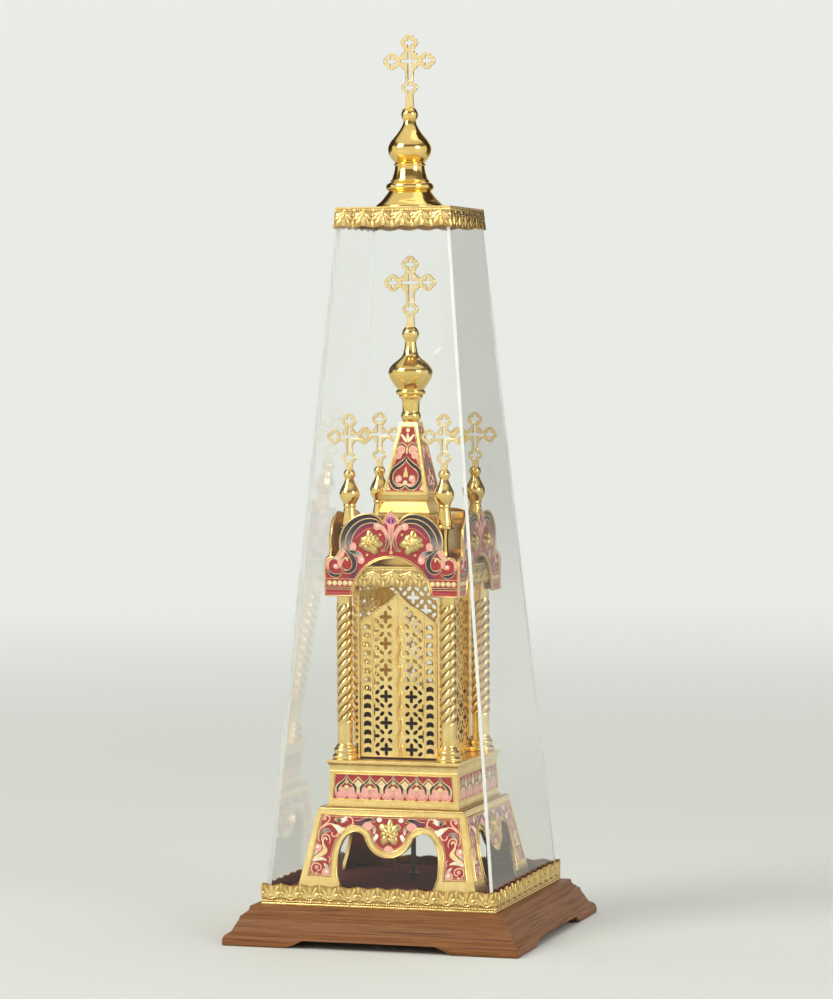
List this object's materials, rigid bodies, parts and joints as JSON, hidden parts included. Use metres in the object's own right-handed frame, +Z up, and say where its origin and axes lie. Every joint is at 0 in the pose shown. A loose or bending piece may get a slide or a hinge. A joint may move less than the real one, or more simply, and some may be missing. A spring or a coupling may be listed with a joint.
{
  "type": "altar tabernacle",
  "caption": "Gilt shrine with twisted columns, hinged pierced doors and a spire, under a tapering glass cover with a domed cap, on a moulded plinth.",
  "frame": {"origin": "middle of the plinth's underside, where the plinth stands", "axes": "+Z up, the doors face -Y, +X is to the right when facing the doors"},
  "size_m": [0.286, 0.286, 0.8513],
  "materials": {
    "gilt_brass": "polished and gilt, cast relief partly matt",
    "red_enamel": "glossy enamel between gilt lines",
    "wood": "mahogany stain, satin varnish",
    "velvet": "short dark pile",
    "glass": "clear and polished, bonded edges",
    "dark_steel": "darkened"
  },
  "bodies": {
    "shrine": {"wood_plinth": "wood", "velvet_board": "velvet", "base_gallery": "gilt_brass", "glass_pane_front": "glass", "glass_pane_right": "glass", "glass_pane_back": "glass", "glass_pane_left": "glass", "cap_plate": "gilt_brass", "cap_border": "gilt_brass", "cover_dome": "gilt_brass", "cover_cross": "gilt_brass", "arch_stage": "gilt_brass", "arch_plaque_front": "red_enamel", "arch_plaque_right": "red_enamel", "arch_plaque_back": "red_enamel", "arch_plaque_left": "red_enamel", "tie_rod": "dark_steel", "band_stage": "gilt_brass", "band_plaque_front": "red_enamel", "band_plaque_right": "red_enamel", "band_plaque_back": "red_enamel", "band_plaque_left": "red_enamel", "column_front_left": "gilt_brass", "column_front_right": "gilt_brass", "column_back_right": "gilt_brass", "column_back_left": "gilt_brass", "casket_wall_right": "gilt_brass", "casket_wall_back": "gilt_brass", "casket_wall_left": "gilt_brass", "jamb_left": "gilt_brass", "jamb_right": "gilt_brass", "velvet_lining": "velvet", "entablature_plate": "gilt_brass", "frieze": "gilt_brass", "kokoshnik_front": "red_enamel", "kokoshnik_right": "red_enamel", "kokoshnik_back": "red_enamel", "kokoshnik_left": "red_enamel", "attic": "gilt_brass", "spire": "gilt_brass", "spire_plaque_front": "red_enamel", "spire_plaque_right": "red_enamel", "spire_plaque_back": "red_enamel", "spire_plaque_left": "red_enamel", "main_finial": "gilt_brass", "main_cross": "gilt_brass", "pinnacle_front_left": "gilt_brass", "pinnacle_front_right": "gilt_brass", "pinnacle_back_right": "gilt_brass", "pinnacle_back_left": "gilt_brass", "pinnacle_cross_front_left": "gilt_brass", "pinnacle_cross_front_right": "gilt_brass", "pinnacle_cross_back_right": "gilt_brass", "pinnacle_cross_back_left": "gilt_brass"},
    "door_left": {"door_left": "gilt_brass"},
    "door_right": {"door_right": "gilt_brass"}
  },
  "joints": [
    {"name": "door_left_hinge", "type": "hinge", "parent": "shrine", "child": "door_left", "pos_m": [-0.037, -0.0437, 0.169], "axis": [0, 0, -1], "range_deg": [0, 90]},
    {"name": "door_right_hinge", "type": "hinge", "parent": "shrine", "child": "door_right", "pos_m": [0.037, -0.0437, 0.169], "axis": [0, 0, 1], "range_deg": [0, 90]}
  ]
}
